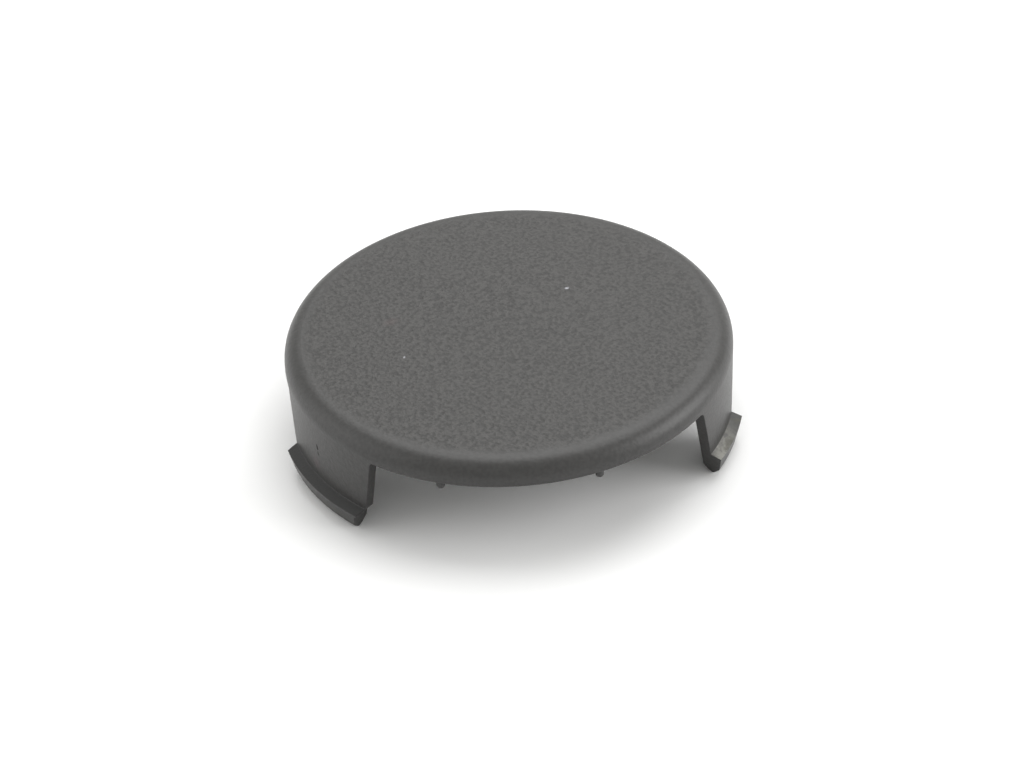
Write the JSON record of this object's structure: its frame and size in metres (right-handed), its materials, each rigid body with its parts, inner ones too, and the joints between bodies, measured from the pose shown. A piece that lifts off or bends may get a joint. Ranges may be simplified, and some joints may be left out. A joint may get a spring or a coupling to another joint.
{
  "type": "hole plug",
  "caption": "Round snap-in hole plug with a textured cap, barbed snap legs and short stop pins, moulded in dark grey plastic.",
  "frame": {"origin": "on the plug's axis, at the lower edge of the skirt", "axes": "+Z along the plug's axis, out of the top of the cap; -Y towards the wide snap leg; X = 0 is the mirror plane"},
  "size_m": [0.05, 0.0512, 0.013],
  "materials": {
    "plastic": "fine moulded grain"
  },
  "bodies": {
    "root": {"hole_plug": "plastic"}
  },
  "joints": []
}
